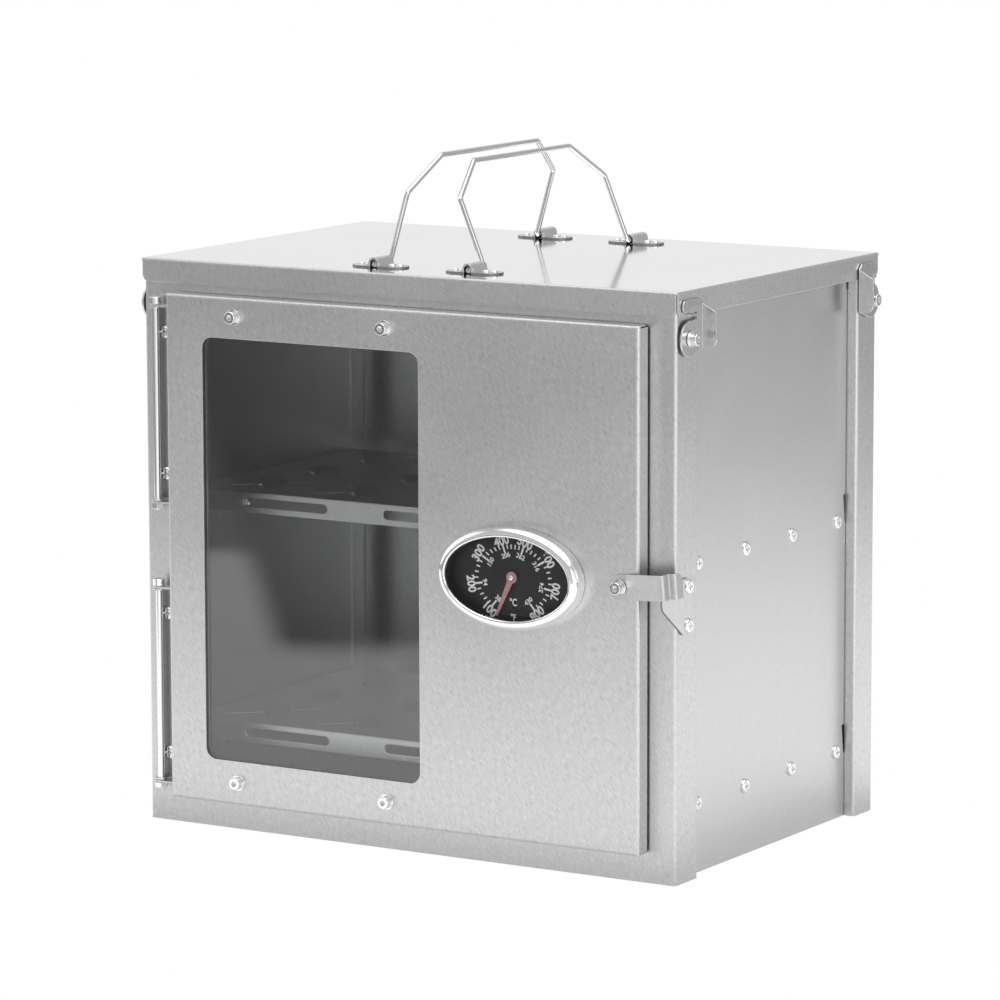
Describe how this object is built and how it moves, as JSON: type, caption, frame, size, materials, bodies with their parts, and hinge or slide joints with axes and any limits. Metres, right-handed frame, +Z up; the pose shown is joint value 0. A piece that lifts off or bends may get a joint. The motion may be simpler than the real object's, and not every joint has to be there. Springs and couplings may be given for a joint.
{
  "type": "camp oven",
  "caption": "Folding stainless sheet camp oven for a stove top, with a glazed hinged door, oval dial thermometer, lift-out racks, corner latches and wire bails.",
  "frame": {"origin": "middle of the casing's footprint, on the surface that it stands on", "axes": "+X to the right of someone facing the door, +Y from the door to the back, +Z up"},
  "size_m": [0.3728, 0.2546, 0.3896],
  "materials": {
    "stainless_sheet": "stainless sheet with a fine slanting brushed grain, satin",
    "lid_polished": "stainless sheet, top polished nearly to a mirror, flanges brushed",
    "bright_fittings": "smooth stainless strip, lightly brushed",
    "bright_wire": "bright drawn stainless wire",
    "fasteners": "bright stainless screws and nuts",
    "oven_glass": "smoked heat-proof glass, glossy",
    "gasket": "dark woven fibre tape",
    "gauge_chrome": "polished ring",
    "gauge_case": "satin black inside",
    "gauge_glass": "clear flat lens",
    "dial_black": "matt black dial with white print",
    "pointer_red": "matt red enamel"
  },
  "bodies": {
    "casing": {"front_panel": "stainless_sheet", "back_panel": "stainless_sheet", "side_panel_left": "stainless_sheet", "side_panel_right": "stainless_sheet", "bottom_plate": "stainless_sheet", "lid_cover": "lid_polished", "rack_rail_left_upper": "stainless_sheet", "rack_rail_right_upper": "stainless_sheet", "rack_rail_left_lower": "stainless_sheet", "rack_rail_right_lower": "stainless_sheet", "rail_screws_left": "fasteners", "rail_screws_right": "fasteners", "rail_nuts_left": "fasteners", "rail_nuts_right": "fasteners", "handle_clip_front_left": "bright_fittings", "handle_clip_back_left": "bright_fittings", "handle_clip_front_right": "bright_fittings", "handle_clip_back_right": "bright_fittings", "handle_clip_rivets": "fasteners", "hinge_bracket_upper": "stainless_sheet", "hinge_bracket_lower": "stainless_sheet", "hinge_bracket_screws": "fasteners", "hinge_bracket_nuts": "fasteners", "hinge_pin_upper": "fasteners", "hinge_pin_lower": "fasteners", "hinge_pin_nuts": "fasteners", "keeper_plate": "bright_fittings", "keeper_screws": "fasteners", "keeper_nuts": "fasteners", "latch_pivot_screws": "fasteners", "latch_pivot_washers": "fasteners", "latch_pivot_spacers": "fasteners", "latch_pivot_nuts": "fasteners"},
    "door": {"door_panel": "stainless_sheet", "window_glass": "oven_glass", "window_gasket": "gasket", "window_frame": "stainless_sheet", "window_screws": "fasteners", "window_nuts": "fasteners", "door_washers": "fasteners", "door_latch_screw": "fasteners", "door_latch_nut": "fasteners", "gauge_bezel": "gauge_chrome", "gauge_case": "gauge_case", "gauge_lens": "gauge_glass", "gauge_dial": "dial_black", "gauge_stem": "fasteners", "gauge_washer": "fasteners", "gauge_nut": "fasteners"},
    "door_latch": {"door_latch": "bright_fittings"},
    "pointer": {"gauge_pointer": "pointer_red"},
    "handle_left": {"handle_left": "bright_wire"},
    "handle_right": {"handle_right": "bright_wire"},
    "corner_latch_front_left": {"corner_latch_front_left": "bright_fittings"},
    "corner_latch_front_right": {"corner_latch_front_right": "bright_fittings"},
    "corner_latch_back_left": {"corner_latch_back_left": "bright_fittings"},
    "corner_latch_back_right": {"corner_latch_back_right": "bright_fittings"},
    "rack_upper": {"rack_upper": "stainless_sheet"},
    "rack_lower": {"rack_lower": "stainless_sheet"}
  },
  "joints": [
    {"name": "door_hinge", "type": "hinge", "parent": "casing", "child": "door", "pos_m": [-0.1634, -0.122, 0.16275], "axis": [0, 0, -1], "range_deg": [0, 175]},
    {"name": "door_latch_turn", "type": "hinge", "parent": "door", "child": "door_latch", "pos_m": [0.1465, -0.128, 0.1654], "axis": [0, -1, 0], "range_deg": [0, 50]},
    {"name": "pointer_spindle", "type": "hinge", "parent": "door", "child": "pointer", "pos_m": [0.0794, -0.13, 0.1654], "axis": [0, 1, 0], "range_deg": [-10, 295], "stiffness_Nm_per_rad": 0.001},
    {"name": "left_bail", "type": "hinge", "parent": "casing", "child": "handle_left", "pos_m": [-0.031, 0, 0.3293], "axis": [0, 1, 0], "range_deg": [-104, 10.5]},
    {"name": "right_bail", "type": "hinge", "parent": "casing", "child": "handle_right", "pos_m": [0.031, 0, 0.3293], "axis": [0, 1, 0], "range_deg": [-4.5, 110]},
    {"name": "latch_front_left", "type": "hinge", "parent": "casing", "child": "corner_latch_front_left", "pos_m": [-0.177, -0.1052, 0.301], "axis": [-1, 0, 0], "range_deg": [0, 80]},
    {"name": "latch_front_right", "type": "hinge", "parent": "casing", "child": "corner_latch_front_right", "pos_m": [0.177, -0.1052, 0.301], "axis": [-1, 0, 0], "range_deg": [0, 80]},
    {"name": "latch_back_left", "type": "hinge", "parent": "casing", "child": "corner_latch_back_left", "pos_m": [-0.177, 0.1052, 0.301], "axis": [1, 0, 0], "range_deg": [0, 80]},
    {"name": "latch_back_right", "type": "hinge", "parent": "casing", "child": "corner_latch_back_right", "pos_m": [0.177, 0.1052, 0.301], "axis": [1, 0, 0], "range_deg": [0, 80]},
    {"name": "rack_upper_lift", "type": "slide", "parent": "casing", "child": "rack_upper", "axis": [0, 0, 1], "range_m": [0, 0.12]},
    {"name": "rack_lower_lift", "type": "slide", "parent": "casing", "child": "rack_lower", "axis": [0, 0, 1], "range_m": [0, 0.095]}
  ]
}
